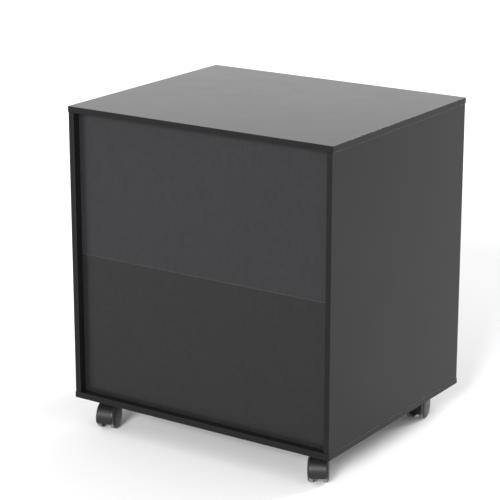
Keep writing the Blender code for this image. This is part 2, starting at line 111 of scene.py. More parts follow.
def blendOf(tree, factor, first, second):
    # a colour between two colours
    made = tree.nodes.new("ShaderNodeMix")
    made.data_type = "RGBA"
    tree.links.new(factor, made.inputs["Factor"])
    sockets = [s for s in made.inputs if s.type == "RGBA"]
    for socket, value in zip(sockets, (first, second)):
        if isinstance(value, tuple):
            socket.default_value = (*value, 1)
        else:
            tree.links.new(value, socket)
    return [s for s in made.outputs if s.type == "RGBA"][0]


def addBump(tree, shader, height, strength, depth):
    # bumps stack: each new one takes the last one's normal
    made = tree.nodes.new("ShaderNodeBump")
    made.inputs["Strength"].default_value = strength
    made.inputs["Distance"].default_value = depth
    tree.links.new(height, made.inputs["Height"])
    normal = shader.inputs["Normal"]
    if normal.is_linked:
        tree.links.new(normal.links[0].from_socket, made.inputs["Normal"])
    tree.links.new(made.outputs["Normal"], normal)


def convexOf(tree):
    # high on outward edges, low in corners
    return spread(tree, tree.nodes.new("ShaderNodeNewGeometry").outputs["Pointiness"], 0.50, 0.58, 0, 1)


melamineLook = {
    "colour": (0.0080, 0.0080, 0.0085),
    "cloud": (0.0100, 0.0100, 0.0106),
    "dust": (0.045, 0.045, 0.045),
    # paler colour painted on the band's rounded corners: rubbed wear and a painted highlight
    "worn": (0.050, 0.050, 0.052),
    "gloss": 0.13,
    "roughness": (0.11, 0.19),
    "bandRoughness": (0.14, 0.22),
    "grainPerMetre": 1500,
    "grainDepth": 0.00003,
}


def makeMelamine(look=melamineLook):
    # laminated board face: fine moulded grain, faint clouds, handled patches and a little dust
    material, tree, shader = startFinish("melamineFace", look["colour"], look["roughness"][0])
    clouds = spread(tree, noiseOf(tree, 7.0, 5.0), 0.35, 0.7, 0, 1)
    specks = spread(tree, noiseOf(tree, 620.0, 2.0), 0.70, 0.80, 0, 0.5)
    colour = blendOf(tree, clouds, look["colour"], look["cloud"])
    tree.links.new(blendOf(tree, specks, colour, look["dust"]), shader.inputs["Base Color"])
    shader.inputs["Specular IOR Level"].default_value = look["gloss"]
    hands = noiseOf(tree, 16.0, 6.0, rough=0.6)
    tree.links.new(spread(tree, hands, 0.3, 0.7, *look["roughness"]), shader.inputs["Roughness"])
    addBump(tree, shader, cellsOf(tree, look["grainPerMetre"], "SMOOTH_F1"), 0.35, look["grainDepth"])
    addBump(tree, shader, noiseOf(tree, 9.0, 2.0), 0.10, 0.0002)
    return material


def makeEdgeBand(look=melamineLook):
    # plastic band glued along a board's edge: smoother than the face, painted paler on its rounded corners
    # as rubbed wear and as a painted highlight
    material, tree, shader = startFinish("edgeBand", look["colour"], look["bandRoughness"][0])
    shader.inputs["Specular IOR Level"].default_value = look["gloss"]
    corner = tree.nodes.new("ShaderNodeAttribute")
    corner.attribute_name = "edge"
    chips = spread(tree, noiseOf(tree, 140.0, 6.0, rough=0.7), 0.42, 0.66, 0, 0.65)
    # rubbed wear and painted highlight along the rounded corners, broken up by chips
    bandWearAndHighlight = mathOf(tree, "MULTIPLY", corner.outputs["Fac"], mathOf(tree, "ADD", chips, 0.30))
    tree.links.new(blendOf(tree, bandWearAndHighlight, look["colour"], look["worn"]), shader.inputs["Base Color"])
    patches = spread(tree, noiseOf(tree, 60.0, 4.0), 0.3, 0.7, *look["bandRoughness"])
    tree.links.new(patches, shader.inputs["Roughness"])
    addBump(tree, shader, noiseOf(tree, 900.0, 2.0, stretch=(0.05, 0.05, 1.0)), 0.15, 0.00002)
    return material


hardboardLook = {
    "upper": (0.0165, 0.0165, 0.0180),
    # the lower sheet is darker than the upper: painted shade for the lower half of the back
    "lower": (0.0120, 0.0120, 0.0125),
    "rawEdge": (0.052, 0.045, 0.035),
    "fibre": 1.22,
    "gloss": 0.20,
    "roughness": (0.22, 0.32),
}


def makeHardboard(name, colour, look=hardboardLook):
    # thin printed hardboard: a little silkier than the boards, with a very fine fibre lay
    material, tree, shader = startFinish(name, colour, look["roughness"][0])
    shader.inputs["Specular IOR Level"].default_value = look["gloss"]
    fibres = noiseOf(tree, 240.0, 5.0, stretch=(1.0, 1.0, 0.25), rough=0.65)
    lay = spread(tree, fibres, 0.4, 0.7, 0, 1)
    pale = tuple(c * look["fibre"] for c in colour)
    tree.links.new(blendOf(tree, lay, colour, pale), shader.inputs["Base Color"])
    patches = spread(tree, noiseOf(tree, 12.0, 5.0), 0.3, 0.7, *look["roughness"])
    tree.links.new(patches, shader.inputs["Roughness"])
    addBump(tree, shader, noiseOf(tree, 1100.0, 3.0), 0.20, 0.00003)
    addBump(tree, shader, noiseOf(tree, 5.0, 2.0), 0.10, 0.0003)
    return material


nylonLook = {
    "hood": (0.0085, 0.0085, 0.0095),
    "disc": (0.0080, 0.0080, 0.0088),
    "tread": (0.180, 0.180, 0.170),
    "pedal": (0.095, 0.095, 0.090),
    "gloss": 0.30,
    # how much paler the edges are painted: scuffs and a painted highlight
    "scuff": 1.8,
}


def makeNylon(name, colour, roughness=(0.30, 0.42), grainPerMetre=2600, look=nylonLook):
    # moulded plastic: fine mould grain, a faint flow pattern, edges painted paler as scuffs and as a painted
    # highlight
    material, tree, shader = startFinish(name, colour, roughness[0])
    shader.inputs["Specular IOR Level"].default_value = look["gloss"]
    flow = spread(tree, noiseOf(tree, 70.0, 4.0, stretch=(1, 1, 0.4)), 0.35, 0.75, 0, 0.7)
    pale = tuple(c * 1.35 + 0.001 for c in colour)
    paleEdgeWearAndHighlight = tuple(c * look["scuff"] + 0.004 for c in colour)
    broken = spread(tree, noiseOf(tree, 320.0, 5.0), 0.40, 0.65, 0, 0.7)
    # paler on outward edges: scuffs and a painted highlight
    edgeWearAndHighlightMask = mathOf(tree, "MULTIPLY", convexOf(tree), broken)
    base = blendOf(tree, flow, colour, pale)
    tree.links.new(blendOf(tree, edgeWearAndHighlightMask, base, paleEdgeWearAndHighlight), shader.inputs["Base Color"])
    patches = spread(tree, noiseOf(tree, 180.0, 4.0), 0.3, 0.7, *roughness)
    tree.links.new(patches, shader.inputs["Roughness"])
    addBump(tree, shader, cellsOf(tree, grainPerMetre), 0.25, 0.00003)
    return material


def makeTread(look=nylonLook):
    # soft grey tread with ground-in dust
    material, tree, shader = startFinish("treadGrey", look["tread"], 0.62)
    dust = spread(tree, noiseOf(tree, 190.0, 7.0, rough=0.7), 0.35, 0.7, 0, 1)
    dark = tuple(c * 0.62 for c in look["tread"])
    tree.links.new(blendOf(tree, dust, look["tread"], dark), shader.inputs["Base Color"])
    patches = spread(tree, noiseOf(tree, 300.0, 4.0), 0.3, 0.7, 0.55, 0.75)
    tree.links.new(patches, shader.inputs["Roughness"])
    addBump(tree, shader, noiseOf(tree, 1600.0, 4.0), 0.4, 0.00006)
    return material


steelLook = {
    "zinc": (0.56, 0.565, 0.575),
    "bright": (0.70, 0.70, 0.71),
    "ferrite": (0.12, 0.12, 0.125),
}


def makeSteel(name, colour, roughness=(0.26, 0.42), brushed=(1, 1, 1)):
    # plated sheet: cloudy plating, fine rolling lines, a few dull spots
    material, tree, shader = startFinish(name, colour, roughness[0], 1.0)
    cloud = spread(tree, noiseOf(tree, 90.0, 6.0), 0.35, 0.7, 0, 1)
    dull = tuple(c * 0.82 for c in colour)
    tree.links.new(blendOf(tree, cloud, colour, dull), shader.inputs["Base Color"])
    lines = noiseOf(tree, 700.0, 3.0, stretch=brushed)
    tree.links.new(spread(tree, lines, 0.3, 0.7, *roughness), shader.inputs["Roughness"])
    addBump(tree, shader, lines, 0.12, 0.00002)
    return material


materials = {
    "board": makeMelamine(),
    "band": makeEdgeBand(),
    "backUpper": makeHardboard("hardboardUpper", hardboardLook["upper"]),
    "backLower": makeHardboard("hardboardLower", hardboardLook["lower"]),
    "rawEdge": makeHardboard("hardboardRawEdge", hardboardLook["rawEdge"]),
    "hood": makeNylon("hoodNylon", nylonLook["hood"]),
    "disc": makeNylon("discNylon", nylonLook["disc"], (0.26, 0.36)),
    "pedal": makeNylon("pedalNylon", nylonLook["pedal"], (0.40, 0.55)),
    "tread": makeTread(),
    "zinc": makeSteel("zincSteel", steelLook["zinc"], brushed=(1, 0.05, 1)),
    "bright": makeSteel("brightSteel", steelLook["bright"], (0.12, 0.22)),
    "ferrite": makeSteel("ferriteMagnet", steelLook["ferrite"], (0.50, 0.65)),
}
print("materials ready:", len(materials))


# mesh tools shared by the pieces below

def box(node):
    low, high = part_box(node)
    return Vector(low), Vector(high)


def middleOf(node):
    low, high = box(node)
    return (low + high) / 2


def boxIn(node, place):
    # a node's box in a turned frame, such as a caster's own
    back = place.inverted()
    points = [back @ v.co for v in frame["nodes"][node].data.vertices]
    low = Vector([min(p[i] for p in points) for i in range(3)])
    high = Vector([max(p[i] for p in points) for i in range(3)])
    return low, high


def finished(mesh, *keys):
    for key in keys:
        mesh.materials.append(materials[key])
    return mesh


def meshFrom(form, name, smoothAngle=35):
    bmesh.ops.recalc_face_normals(form, faces=form.faces)
    mesh = bpy.data.meshes.new(name)
    form.to_mesh(mesh)
    form.free()
    mesh.shade_smooth()
    mesh.set_sharp_from_angle(angle=math.radians(smoothAngle))
    return mesh


def shapeWith(mesh, *steps, smoothAngle=35):
    # runs modifiers on a throwaway object and gives back the mesh; a step is (type, settings)
    worker = bpy.data.objects.new("worker", mesh)
    bpy.context.scene.collection.objects.link(worker)
    for kind, settings in steps:
        modifier = worker.modifiers.new(kind.lower(), kind)
        for key, value in settings.items():
            setattr(modifier, key, value)
    bpy.context.view_layer.update()
    shaped = bpy.data.meshes.new_from_object(worker.evaluated_get(bpy.context.evaluated_depsgraph_get()))
    shaped.name = mesh.name
    bpy.data.objects.remove(worker, do_unlink=True)
    shaped.shade_smooth()
    shaped.set_sharp_from_angle(angle=math.radians(smoothAngle))
    return shaped


def withTools(mesh, *tools, smoothAngle=35):
    # each tool is (operation, mesh); the tools live only while the boolean runs
    helpers = []
    steps = []
    for operation, toolMesh in tools:
        helper = bpy.data.objects.new("helper", toolMesh)
        bpy.context.scene.collection.objects.link(helper)
        helpers.append(helper)
        steps.append(("BOOLEAN", {"operation": operation, "object": helper, "solver": "EXACT"}))
    shaped = shapeWith(mesh, *steps, smoothAngle=smoothAngle)
    for helper in helpers:
        bpy.data.objects.remove(helper, do_unlink=True)
    return shaped


def eased(mesh, width, segments=3, angle=35, **more):
    # rounds every edge sharper than angle
    settings = {"width": width, "segments": segments, "limit_method": "ANGLE"}
    settings.update(angle_limit=math.radians(angle), **more)
    return shapeWith(mesh, ("BEVEL", settings), smoothAngle=angle)


def gather(name, mesh, places):
    # copies of one small mesh at several places, as one mesh
    form = bmesh.new()
    for place in places:
        copy = mesh.copy()
        copy.transform(place)
        form.from_mesh(copy)
        bpy.data.meshes.remove(copy)
    gathered = bpy.data.meshes.new(name)
    form.to_mesh(gathered)
    form.free()
    for material in mesh.materials:
        gathered.materials.append(material)
    return gathered


def axisTurn(axis):
    # carries X, Y, Z onto the three directions of a piece made along another axis
    if axis == "X":
        return Matrix(((0, 0, 1), (1, 0, 0), (0, 1, 0))).to_4x4()
    if axis == "Y":
        return Matrix(((1, 0, 0), (0, 0, -1), (0, 1, 0))).to_4x4()
    return Matrix.Identity(4)


def lathe(name, profile, sides=64, axis="Z", smoothAngle=35):
    # turns (along, radius) points about an axis; a radius of 0 closes the end
    form = bmesh.new()
    turn = axisTurn(axis)
    flip = -1 if axis == "Y" else 1
    rings = []
    for along, radius in profile:
        ring = []
        for i in range(sides if radius else 1):
            angle = i * fullTurn / sides
            spot = Vector((radius * math.cos(angle), radius * math.sin(angle), flip * along))
            ring.append(form.verts.new(turn @ spot))
        rings.append(ring)
    pairs = list(zip(rings, rings[1:]))
    if len(rings[0]) > 1 and len(rings[-1]) > 1:
        pairs.append((rings[-1], rings[0]))
    for near, far in pairs:
        for i in range(sides):
            j = (i + 1) % sides
            corners = [near[i % len(near)], near[j % len(near)], far[j % len(far)], far[i % len(far)]]
            corners = list(dict.fromkeys(corners))
            if len(corners) > 2:
                form.faces.new(corners)
    return meshFrom(form, name, smoothAngle)


def rod(name, low, high, radius, sides=64, axis="Z"):
    # a plain turned length, for drills, bores and small barrels
    return lathe(name, [(low, 0), (low, radius), (high, radius), (high, 0)], sides, axis)


def mirrored(end):
    # a turned profile that is the same towards both ends
    return [(-along, radius) for along, radius in reversed(end)] + end


def roundedRectangle(width, height, radius, steps=4):
    halfW = width / 2 - radius
    halfH = height / 2 - radius
    points = []
    for corner, (sideX, sideY) in enumerate(((1, 1), (-1, 1), (-1, -1), (1, -1))):
        for i in range(steps + 1):
            angle = math.radians(corner * 90 + 90 * i / steps)
            x = sideX * halfW + radius * math.cos(angle)
            y = sideY * halfH + radius * math.sin(angle)
            points.append((x, y))
    return points


def prism(name, outline, low, high, axis="Z", smoothAngle=35):
    # a closed outline pulled along an axis: (x, y) for Z, (y, z) for X, (x, z) for Y
    form = bmesh.new()
    turn = axisTurn(axis)
    flip = -1 if axis == "Y" else 1
    ends = []
    for along in (low, high):
        ends.append([form.verts.new(turn @ Vector((a, b, flip * along))) for a, b in outline])
        form.faces.new(ends[-1])
    for i in range(len(outline)):
        j = (i + 1) % len(outline)
        form.faces.new((ends[0][i], ends[0][j], ends[1][j], ends[1][i]))
    return meshFrom(form, name, smoothAngle)


def block(low, high, name="block"):
    middleX, middleY = (low[0] + high[0]) / 2, (low[1] + high[1]) / 2
    halfX, halfY = (high[0] - low[0]) / 2, (high[1] - low[1]) / 2
    corners = [(middleX + a * halfX, middleY + b * halfY) for a, b in ((1, 1), (-1, 1), (-1, -1), (1, -1))]
    return prism(name, corners, low[2], high[2])


def plainName(node):
    first, *rest = node.split("_")
    return first + "".join(word.capitalize() for word in rest)


def addPiece(name, mesh, body, place=None):
    piece = bpy.data.objects.new(name, mesh)
    bpy.context.scene.collection.objects.link(piece)
    if place is not None:
        piece.matrix_world = place
    # flat faces stay flat beside their rounded edges
    shading = piece.modifiers.new("evenShading", "WEIGHTED_NORMAL")
    shading.keep_sharp = True
    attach(piece, body)
    return piece


def standIn(node, mesh, place=None):
    # the finished piece that takes a CAD node's place
    piece = addPiece(plainName(node), mesh, bodyOf[node], place)
    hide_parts(node)
    return piece


# boards: lofted panels with a banded, rounded edge and a hairline where the band meets the face

boardLook = {
    "ease": 0.0005,
    "rimAngles": (90, 67.5, 45, 22.5, 0),
    "corner": 0.0012,
    "leastCorner": 0.0003,
    "sharpAngle": 38,
    "bandLine": 0.0009,
    "lineWidth": 0.00022,
    "lineDepth": 0.00010,
    "support": 0.0005,
    "holeRadius": 0.0026,
    "holeDepth": 0.0085,
    "holeStep": 0.032,
    "slack": 0.0003,
    "past": 0.01,
}

boardNodes = {
    "top_panel": "Z",
    "bottom_panel": "Z",
    "side_panel_left": "X",
    "side_panel_right": "X",
    "divider_panel": "X",
    "drawer_deck": "Z",
    "cupboard_shelf": "Z",
    "open_shelf": "Z",
    "drawer_front": "Y",
    "drawer_side_left": "X",
    "drawer_side_right": "X",
    "drawer_back": "Y",
    "door_panel": "Y",
}


def flatSize(size, thin):
    # a panel's width, height and thickness, for the axis that its thickness runs along
    if thin == "X":
        return size.y, size.z, size.x
    if thin == "Y":
        return size.x, size.z, size.y
    return size.x, size.y, size.z


def boardMesh(name, size, thin, look=boardLook):
    # rings of rounded rectangles run from one face over the edge to the other face
    width, height, thick = flatSize(size, thin)
    half = thick / 2
    ease = look["ease"]
    line = look["bandLine"]
    groove = look["lineWidth"]
    face = [(line + groove, 0.0, 0.0), (line + groove / 2, look["lineDepth"], 0.0), (line, 0.0, 0.0)]
    rim = []
    for degrees in look["rimAngles"]:
        angle = math.radians(degrees)
        # the rim's mask peaks halfway round the rounding; the band's material paints it paler, as rubbed
        # wear and a painted highlight
        rim.append((ease * (1 - math.cos(angle)), ease * (1 - math.sin(angle)), math.sin(2 * angle)))
    side = face + rim + [(0.0, ease + look["support"], 0.0)]
    rings = [(inset, -half + drop, worn) for inset, drop, worn in side]
    rings += [(inset, half - drop, worn) for inset, drop, worn in reversed(side)]
    form = bmesh.new()
    edge = form.verts.layers.float.new("edge")
    turn = axisTurn(thin)
    loops = []
    for inset, z, worn in rings:
        radius = max(look["corner"] - inset, look["leastCorner"])
        loop = []
        for x, y in roundedRectangle(width - 2 * inset, height - 2 * inset, radius, 3):
            vert = form.verts.new(turn @ Vector((x, y, z)))
            vert[edge] = worn
            loop.append(vert)
        loops.append(loop)
    form.faces.new(loops[0])
    form.faces.new(loops[-1])
    lines = len(face) - 1
    for row, (near, far) in enumerate(zip(loops, loops[1:])):
        for i in range(len(near)):
            j = (i + 1) % len(near)
            made = form.faces.new((near[i], near[j], far[j], far[i]))
            made.material_index = 1 if lines <= row < len(loops) - 1 - lines else 0
    return finished(meshFrom(form, name, look["sharpAngle"]), "board", "band")


def pinHoles(faceX, way, z, look=boardLook):
    # drilled rows for the shelf pins: one hole above and one below the pin in use
    depth = look["holeDepth"]
    radius = look["holeRadius"]
    tools = []
    for pin in (1, 2):
        y = middleOf(f"open_shelf_pin_{pin}").y
        for step in (-1, 0, 1):
            ends = sorted((faceX + way * 0.001, faceX - way * depth))
            drill = rod("drill", *ends, radius, 20, "X")
            drill.transform(Matrix.Translation((0, y, z + step * look["holeStep"])))
            tools.append(("DIFFERENCE", drill))
    return tools


def cutsFor(node, low, high, look=boardLook):
    # pin holes in the uprights, and grooves for the back and for the drawer's bottom
    cupboardZ = middleOf("cupboard_shelf_pin_1").z
    openZ = middleOf("open_shelf_pin_1").z
    backLow, backHigh = box("back_panel_upper")
    bottomLow, bottomHigh = box("drawer_bottom")
    slack, past = look["slack"], look["past"]
    front, behind = backLow.y - slack, backHigh.y + slack
    if node == "side_panel_left":
        groove = block((backLow.x, front, low.z - past), (high.x + past, behind, high.z + past))
        return pinHoles(high.x, 1, cupboardZ) + [("DIFFERENCE", groove)]
    if node == "side_panel_right":
        groove = block((low.x - past, front, low.z - past), (backHigh.x, behind, high.z + past))
        return pinHoles(low.x, -1, openZ) + [("DIFFERENCE", groove)]
    if node == "divider_panel":
        return pinHoles(low.x, -1, cupboardZ) + pinHoles(high.x, 1, openZ)
    if node in ("drawer_side_left", "drawer_side_right"):
        room = Vector((slack, slack + past, slack))
        return [("DIFFERENCE", block(bottomLow - room, bottomHigh + room))]
    return []


def makeBoards(look=boardLook):
    for node, thin in boardNodes.items():
        low, high = box(node)
        middle = (low + high) / 2
        mesh = boardMesh(plainName(node), high - low, thin)
        tools = cutsFor(node, low, high)
        for operation, tool in tools:
            tool.transform(Matrix.Translation(-middle))
            finished(tool, "board", "band")
        if tools:
            mesh = withTools(mesh, *tools, smoothAngle=look["sharpAngle"])
        standIn(node, mesh, Matrix.Translation(middle))
    print("boards:", len(boardNodes))


# thin printed hardboard: the back's two halves and the drawer's bottom

thinLook = {
    "ease": 0.0005,
    "closeUp": 0.0003,  # the back sheets press against the slabs and each other
    "backHollow": 0.0005,
    "drawerSag": 0.0006,
    "columns": 48,
    "rows": 24,
}


def thinMesh(name, size, thin, hollow, waves, key, look=thinLook):
    # a fine grid hollowed a little, given its thickness, with eased edges of raw fibre
    width, height, thick = flatSize(size, thin)
    form = bmesh.new()
    turn = axisTurn(thin)
    grid = []
    for row in range(look["rows"] + 1):
        v = row / look["rows"]
        line = []
        for column in range(look["columns"] + 1):
            u = column / look["columns"]
            bend = hollow * math.sin(waves * math.pi * u) ** 2 * math.sin(math.pi * v)
            line.append(form.verts.new(turn @ Vector(((u - 0.5) * width, (v - 0.5) * height, bend))))
        grid.append(line)
    for near, far in zip(grid, grid[1:]):
        for i in range(look["columns"]):
            form.faces.new((near[i], near[i + 1], far[i + 1], far[i]))
    sheet = finished(meshFrom(form, name), key, "rawEdge")
    thickness = ("SOLIDIFY", {"thickness": thick, "offset": 0.0, "material_offset_rim": 1})
    return eased(shapeWith(sheet, thickness), look["ease"], 2, 50, material=1)


def makeHardboards(look=thinLook):
    pieces = {
        "back_panel_upper": ("Y", look["backHollow"], 2, "backUpper"),
        # the lower back sheet's darker colour is painted shade; the drawer's bottom shares that colour
        "back_panel_lower": ("Y", look["backHollow"], 2, "backLower"),
        "drawer_bottom": ("Z", -look["drawerSag"], 1, "backLower"),
    }
    for node, (thin, hollow, waves, key) in pieces.items():
        low, high = box(node)
        if thin == "Y":
            grown = Vector((0, 0, look["closeUp"]))
            low, high = low - grown, high + grown
        mesh = thinMesh(plainName(node), high - low, thin, hollow, waves, key)
        standIn(node, mesh, Matrix.Translation((low + high) / 2))
    print("hardboard pieces:", len(pieces))


makeBoards()
makeHardboards()


# screws: a pan head for plates and runners, a flat head for hinges, both with a cross recess

screwLook = {
    "panRadius": 0.0033,
    "panHeight": 0.0016,
    "flatRadius": 0.0026,
    "flatHeight": 0.0002,
    "shank": 0.0014,
    "sunk": 0.0010,
    "slotLength": 0.0036,
    "slotWidth": 0.0008,
    "slotDepth": 0.0009,
    "slotRise": 0.0004,
    "headUnder": 0.0001,
    "settle": 0.0001,
    "dishNarrow": 0.0010,
    "dishRise": 0.0002,
    "dishTop": 0.0006,
}


def crossTool(top, length, look=screwLook):
    # two crossed wedges that taper to a point below the head's top
    above, below = top + look["slotRise"], top - look["slotDepth"]
    outline = [(-length / 2, above), (length / 2, above), (length / 6, below), (-length / 6, below)]
    half = look["slotWidth"] / 2
    tools = []
    for turn in (0, math.pi / 2):
        wedge = prism("wedge", outline, -half, half, "Y")
        wedge.transform(Matrix.Rotation(turn, 4, "Z"))
        tools.append(("DIFFERENCE", wedge))
    return tools


def screwMesh(radius, height, look=screwLook):
    # stands on Z = 0 with its head upwards; a short sunk part sits in the plate
    sunk, shank, under = look["sunk"], look["shank"], look["headUnder"]
    profile = [(-sunk, 0), (-sunk, shank), (-under, shank), (-under, radius * 0.96)]
    for up, out in ((0.30, 1.0), (0.62, 0.93), (0.88, 0.70), (1.0, 0.38), (1.0, 0)):
        profile.append((height * up, radius * out))
    head = lathe("screw", profile, 28)
    tools = crossTool(height, min(look["slotLength"], radius * 1.3))
    return finished(withTools(head, *tools), "bright")


panScrew = screwMesh(screwLook["panRadius"], screwLook["panHeight"])
flatScrew = screwMesh(screwLook["flatRadius"], screwLook["flatHeight"])


def facing(direction, spot):
    # puts a small piece at a spot with its top facing along a direction
    turn = Vector(direction).to_track_quat("Z", "Y").to_matrix().to_4x4()
    return Matrix.Translation(Vector(spot)) @ turn


def dish(depth, width, direction, spot, look=screwLook):
    # a countersink, as wide as the screw's head at the face
    narrow, rise, top = look["dishNarrow"], look["dishRise"], look["dishTop"]
    sink = lathe("sink", [(-depth, 0), (-depth, narrow), (rise, width), (top, width), (top, 0)], 28)
    sink.transform(facing(direction, spot))
    return ("DIFFERENCE", sink)


# shelf pins: nickel studs with a groove by the board and a domed end

pinLook = {
    "ease": 0.0006,
    "grooveAt": 0.0078,
    "grooveWidth": 0.0008,
    "grooveDepth": 0.0004,
    "grooveSlope": 0.0002,
    "dome": 0.0012,
}


def makeShelfPins(look=pinLook):
    count = 0
    for node in [n for n in bodyOf if "_shelf_pin_" in n]:
        low, high = box(node)
        middle = (low + high) / 2
        half = (high.x - low.x) / 2
        radius = (high.z - low.z) / 2
        # the stub is the end that stands clear of the board the pin is in
        way = 1 if middle.x < middleOf(node.rsplit("_pin_", 1)[0]).x else -1
        start = look["grooveAt"] - half
        stop = start + look["grooveWidth"]
        neck = radius - look["grooveDepth"]
        profile = [(-half, 0), (-half, radius - look["ease"]), (look["ease"] - half, radius)]
        profile += [(start, radius), (start + look["grooveSlope"], neck)]
        profile += [(stop, neck), (stop + look["grooveSlope"], radius)]
        dome = look["dome"]
        for i in range(5):
            angle = math.radians(90 * i / 4)
            profile.append((half - dome + dome * math.sin(angle), radius - dome * (1 - math.cos(angle))))
        profile.append((half, 0))
        mesh = finished(lathe(plainName(node), profile, 28, "X"), "bright")
        turn = Matrix.Identity(4) if way > 0 else Matrix.Rotation(math.pi, 4, "Z")
        standIn(node, mesh, Matrix.Translation(middle) @ turn)
        count += 1
    print("shelf pins:", count)


# drawer runners: three nested channels a side, with balls in the middle one

runnerLook = {
    "sheet": 0.0012,
    "cageSheet": 0.0008,
    "bend": 0.0005,
    "cageBend": 0.0003,
    "drillReach": 0.003,
    "ballRadius": 0.0017,
    "ballRoom": 0.0002,
    "balls": 8,
    "ballEnd": 0.006,
    "slotLength": 0.010,
    "slotWidth": 0.0042,
    "slotCorner": 0.002,
    "slotPlace": 0.45,
    "screwEnd": 0.032,
}

# which way each channel opens along X
channels = {
    "drawer_rail_left": 1,
    "drawer_rail_right": -1,
    "ball_cage_left": 1,
    "ball_cage_right": -1,
    "drawer_runner_left": -1,
    "drawer_runner_right": 1,
}


def channelMesh(node, steel, bend):
    # a C section along Y about its own middle
    low, high = box(node)
    halfX, halfY, halfZ = (high - low) / 2
    outline = [(-halfX, -halfZ), (halfX, -halfZ), (halfX, -halfZ + steel), (steel - halfX, -halfZ + steel),
               (steel - halfX, halfZ - steel), (halfX, halfZ - steel), (halfX, halfZ), (-halfX, halfZ)]
    mesh = eased(prism(plainName(node), outline, -halfY, halfY, "Y"), bend, 3, 50)
    if channels[node] < 0:
        mesh.transform(Matrix.Rotation(math.pi, 4, "Z"))
    return mesh


def ballPlaces(cage, look=runnerLook):
    # where each ball sits, from the cage's middle, in the space that the three channels share
    low, high = box(cage)
    rail = box(cage.replace("ball_cage", "drawer_rail"))
    runner = box(cage.replace("ball_cage", "drawer_runner"))
    middle = (low + high) / 2
    shared = (max(low.x, runner[0].x, rail[0].x) + min(high.x, runner[1].x, rail[1].x)) / 2
    trackHigh = (rail[1].z - look["sheet"] + runner[1].z) / 2 - middle.z
    reach = (high.y - low.y) / 2 - look["ballEnd"]
    spots = []
    for i in range(look["balls"]):
        y = -reach + 2 * reach * i / (look["balls"] - 1)
        for z in (-trackHigh, trackHigh):
            spots.append(Vector((shared - middle.x, y, z)))
    return spots


def makeRunners(look=runnerLook):
    ball = bmesh.new()
    bmesh.ops.create_icosphere(ball, subdivisions=3, radius=look["ballRadius"])
    ballMesh = finished(meshFrom(ball, "ball"), "bright")
    for node, way in channels.items():
        low, high = box(node)
        middle = (low + high) / 2
        halfX, halfY, halfZ = (high - low) / 2
        caged = "ball_cage" in node
        steel = look["cageSheet"] if caged else look["sheet"]
        mesh = channelMesh(node, steel, look["cageBend"] if caged else look["bend"])
        reach = look["drillReach"]
        tools = []
        if caged:
            for spot in ballPlaces(node):
                hole = rod("hole", -reach, reach, look["ballRadius"] + look["ballRoom"], 24)
                hole.transform(Matrix.Translation(spot))
                tools.append(("DIFFERENCE", hole))
        else:
            # two slots through the web, between the screws
            web = -way * halfX
            slot = roundedRectangle(look["slotLength"], look["slotWidth"], look["slotCorner"], 4)
            for y in (-halfY * look["slotPlace"], halfY * look["slotPlace"]):
                outline = [(y + a, b) for a, b in slot]
                tools.append(("DIFFERENCE", prism("slot", outline, web - reach, web + reach, "X")))
        mesh = finished(withTools(mesh, *tools, smoothAngle=40), "zinc")
        standIn(node, mesh, Matrix.Translation(middle))
        if caged:
            balls = gather("balls", ballMesh, [Matrix.Translation(spot) for spot in ballPlaces(node)])
            side = node.rsplit("_", 1)[1].capitalize()
            addPiece("runnerBalls" + side, balls, bodyOf[node], Matrix.Translation(middle))
            continue
        inside = middle.x - way * (halfX - steel)
        ends = [low.y + look["screwEnd"], middle.y, high.y - look["screwEnd"]]
        places = [facing((way, 0, 0), (inside, y, middle.z)) for y in ends]
        addPiece(plainName(node) + "Screws", gather("screws", flatScrew, places), bodyOf[node])
    print("runners:", len(channels))


# butt hinges: rounded leaves with countersunk screws, rolled knuckles and a pin with domed ends

hingeLook = {
    "corner": 0.003,
    "ease": 0.00015,
    "countersink": 0.0028,
    "dishDepth": 0.0015,
    "knuckleRadius": 0.0020,
    "knuckleEase": 0.00025,
    "notchFront": -0.003,
    "notchBack": 0.0028,
    "pinRadius": 0.0009,
    "pinRoom": 0.0002,
    "pinHead": 0.0013,
    "pinShoulder": 0.0004,
    "pinDome": 0.0006,
    "gap": 0.0003,
    "screwInset": 0.008,
    "screwStep": 0.0165,
    "innerStep": 0.30,  # of a third of the hinge's height
    "outerInset": 0.006,
    "innerInset": 0.007,
    "cabinetLeaf": (-0.0019, -0.0011),
    "doorLeaf": (-0.0007, 0.0001),
    "leafStart": 0.001,
}


def knuckle(low, high, look=hingeLook):
    radius, ease = look["knuckleRadius"], look["knuckleEase"]
    profile = [(low, 0), (low, radius - ease), (low + ease, radius)]
    profile += [(high - ease, radius), (high, radius - ease), (high, 0)]
    return lathe("knuckle", profile, 32)


